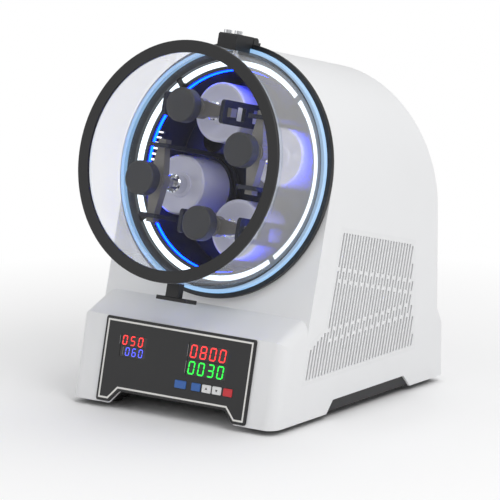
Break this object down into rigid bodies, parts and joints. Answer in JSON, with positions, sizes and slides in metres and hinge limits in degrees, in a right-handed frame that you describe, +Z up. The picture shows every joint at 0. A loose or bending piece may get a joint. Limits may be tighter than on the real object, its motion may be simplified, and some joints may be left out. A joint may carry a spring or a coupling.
{
  "type": "planetary ball mill",
  "caption": "Bench planetary ball mill: leaning round chamber with clamped grinding jars on a geared rotating disc, under a hinged clear hood, with a sloping control panel.",
  "frame": {"origin": "middle of the footprint, on the surface that the rubber feet stand on", "axes": "+Z up; the control panel and the hood face -Y; +X is to the right of a user who stands in front; the head axis leans back by 15.9 degrees in the YZ plane"},
  "size_m": [0.297, 0.3636, 0.4381],
  "materials": {
    "white_paint": "satin powder coat",
    "vent_paint": "satin powder coat",
    "black_panel": "satin moulded with a printed border",
    "display_lens": "dark gloss lenses on a green board",
    "key_blue": "satin",
    "key_white": "satin",
    "key_red": "satin",
    "black_plastic": "fine grained",
    "light_tube": "milky light guide",
    "chamber_lining": "brushed, anodised",
    "gear_steel": "ground and oiled",
    "cast_frame": "as cast",
    "motor_can": "ribbed, painted",
    "belt_rubber": "matte",
    "foot_rubber": "matte",
    "disc_alloy": "turned, dark anodised",
    "bearing_steel": "polished",
    "shaft_steel": "turned",
    "stirrup_alloy": "bead blasted",
    "beam_alloy": "bead blasted",
    "jar_ceramic": "glazed ceramic look",
    "chrome_pad": "polished",
    "knob_black": "steel stud in a black knob",
    "clear_acrylic": "clear",
    "bolt_steel": "zinc plated",
    "tray_black": "black"
  },
  "bodies": {
    "base": {"housing_shell": "white_paint", "vent_grille_left": "vent_paint", "vent_grille_right": "vent_paint", "rear_cover": "vent_paint", "base_tray": "tray_black", "rubber_feet": "foot_rubber", "control_panel": "black_panel", "display_board": "display_lens", "front_bezel": "black_plastic", "light_ring": "light_tube", "chamber_tub": "chamber_lining", "sun_gear": "gear_steel", "drive_frame": "cast_frame", "motor": "motor_can", "drive_belt": "belt_rubber", "power_inlet": "black_plastic", "hinge_base": "black_plastic"},
    "head": {"carrier_disc": "disc_alloy", "main_shaft": "shaft_steel", "driven_pulley": "gear_steel", "planet_bearings": "bearing_steel"},
    "hood": {"hood_shell": "clear_acrylic", "hood_ring": "black_plastic", "hood_handle": "black_plastic", "hinge_arm": "black_plastic", "hinge_bolts": "bolt_steel"},
    "motor_rotor": {"motor_pulley": "gear_steel"},
    "planet_1": {"planet_pinion_1": "gear_steel", "jar_stirrup_1": "stirrup_alloy", "clamp_beam_1": "beam_alloy", "grinding_jar_1": "jar_ceramic", "jar_lid_1": "jar_ceramic"},
    "clamp_pad_1": {"clamp_pad_1": "chrome_pad"},
    "clamp_screw_1": {"clamp_screw_1": "knob_black"},
    "planet_2": {"planet_pinion_2": "gear_steel", "jar_stirrup_2": "stirrup_alloy", "clamp_beam_2": "beam_alloy", "grinding_jar_2": "jar_ceramic", "jar_lid_2": "jar_ceramic"},
    "clamp_pad_2": {"clamp_pad_2": "chrome_pad"},
    "clamp_screw_2": {"clamp_screw_2": "knob_black"},
    "planet_3": {"planet_pinion_3": "gear_steel", "jar_stirrup_3": "stirrup_alloy", "clamp_beam_3": "beam_alloy", "grinding_jar_3": "jar_ceramic", "jar_lid_3": "jar_ceramic"},
    "clamp_pad_3": {"clamp_pad_3": "chrome_pad"},
    "clamp_screw_3": {"clamp_screw_3": "knob_black"},
    "planet_4": {"planet_pinion_4": "gear_steel", "jar_stirrup_4": "stirrup_alloy", "clamp_beam_4": "beam_alloy", "grinding_jar_4": "jar_ceramic", "jar_lid_4": "jar_ceramic"},
    "clamp_pad_4": {"clamp_pad_4": "chrome_pad"},
    "clamp_screw_4": {"clamp_screw_4": "knob_black"},
    "key_menu": {"key_menu": "key_blue"},
    "key_back": {"key_back": "key_blue"},
    "key_up": {"key_up": "key_white"},
    "key_down": {"key_down": "key_white"},
    "key_start": {"key_start": "key_red"}
  },
  "joints": [
    {"name": "hood_hinge", "type": "hinge", "parent": "base", "child": "hood", "pos_m": [0, -0.007, 0.41992], "axis": [-1, 0, 0], "range_deg": [0, 85]},
    {"name": "head_spin", "type": "hinge", "parent": "base", "child": "head", "pos_m": [0, -0.04837, 0.2747], "axis": [0, -0.9617, 0.274], "continuous": true},
    {"name": "motor_spin", "type": "hinge", "parent": "base", "child": "motor_rotor", "pos_m": [0, 0.02762, 0.07421], "axis": [0, -0.9617, 0.274], "continuous": true},
    {"name": "planet_spin_1", "type": "hinge", "parent": "head", "child": "planet_1", "pos_m": [0.06561, -0.04168, 0.29817], "axis": [0, -0.9617, 0.274], "continuous": true},
    {"name": "clamp_slide_1", "type": "slide", "parent": "planet_1", "child": "clamp_pad_1", "axis": [0, -0.9617, 0.274], "range_m": [0, 0.008]},
    {"name": "clamp_turn_1", "type": "hinge", "parent": "clamp_pad_1", "child": "clamp_screw_1", "pos_m": [0.06561, -0.09939, 0.3146], "axis": [0, -0.9617, 0.274], "range_deg": [0, 1440]},
    {"name": "planet_spin_2", "type": "hinge", "parent": "head", "child": "planet_2", "pos_m": [-0.0244, -0.03039, 0.3378], "axis": [0, -0.9617, 0.274], "continuous": true},
    {"name": "clamp_slide_2", "type": "slide", "parent": "planet_2", "child": "clamp_pad_2", "axis": [0, -0.9617, 0.274], "range_m": [0, 0.008]},
    {"name": "clamp_turn_2", "type": "hinge", "parent": "clamp_pad_2", "child": "clamp_screw_2", "pos_m": [-0.0244, -0.0881, 0.35424], "axis": [0, -0.9617, 0.274], "range_deg": [0, 1440]},
    {"name": "planet_spin_3", "type": "hinge", "parent": "head", "child": "planet_3", "pos_m": [-0.06561, -0.05505, 0.25123], "axis": [0, -0.9617, 0.274], "continuous": true},
    {"name": "clamp_slide_3", "type": "slide", "parent": "planet_3", "child": "clamp_pad_3", "axis": [0, -0.9617, 0.274], "range_m": [0, 0.008]},
    {"name": "clamp_turn_3", "type": "hinge", "parent": "clamp_pad_3", "child": "clamp_screw_3", "pos_m": [-0.06561, -0.11276, 0.26767], "axis": [0, -0.9617, 0.274], "range_deg": [0, 1440]},
    {"name": "planet_spin_4", "type": "hinge", "parent": "head", "child": "planet_4", "pos_m": [0.0244, -0.06634, 0.2116], "axis": [0, -0.9617, 0.274], "continuous": true},
    {"name": "clamp_slide_4", "type": "slide", "parent": "planet_4", "child": "clamp_pad_4", "axis": [0, -0.9617, 0.274], "range_m": [0, 0.008]},
    {"name": "clamp_turn_4", "type": "hinge", "parent": "clamp_pad_4", "child": "clamp_screw_4", "pos_m": [0.0244, -0.12405, 0.22804], "axis": [0, -0.9617, 0.274], "range_deg": [0, 1440]},
    {"name": "key_menu_press", "type": "slide", "parent": "base", "child": "key_menu", "axis": [0, 0.9711, -0.2385], "range_m": [0, 0.0008], "stiffness_N_per_m": 500, "springref_m": -0.001},
    {"name": "key_back_press", "type": "slide", "parent": "base", "child": "key_back", "axis": [0, 0.9711, -0.2385], "range_m": [0, 0.0008], "stiffness_N_per_m": 500, "springref_m": -0.001},
    {"name": "key_up_press", "type": "slide", "parent": "base", "child": "key_up", "axis": [0, 0.9711, -0.2385], "range_m": [0, 0.0008], "stiffness_N_per_m": 500, "springref_m": -0.001},
    {"name": "key_down_press", "type": "slide", "parent": "base", "child": "key_down", "axis": [0, 0.9711, -0.2385], "range_m": [0, 0.0008], "stiffness_N_per_m": 500, "springref_m": -0.001},
    {"name": "key_start_press", "type": "slide", "parent": "base", "child": "key_start", "axis": [0, 0.9711, -0.2385], "range_m": [0, 0.0008], "stiffness_N_per_m": 500, "springref_m": -0.001}
  ],
  "couplings": [
    {"joint": "motor_spin", "follows": "head_spin", "ratio": 3},
    {"joint": "planet_spin_1", "follows": "head_spin", "ratio": 1},
    {"joint": "clamp_slide_1", "follows": "clamp_turn_1", "m_per_rad": 0.000318},
    {"joint": "planet_spin_2", "follows": "head_spin", "ratio": 1},
    {"joint": "clamp_slide_2", "follows": "clamp_turn_2", "m_per_rad": 0.000318},
    {"joint": "planet_spin_3", "follows": "head_spin", "ratio": 1},
    {"joint": "clamp_slide_3", "follows": "clamp_turn_3", "m_per_rad": 0.000318},
    {"joint": "planet_spin_4", "follows": "head_spin", "ratio": 1},
    {"joint": "clamp_slide_4", "follows": "clamp_turn_4", "m_per_rad": 0.000318}
  ]
}
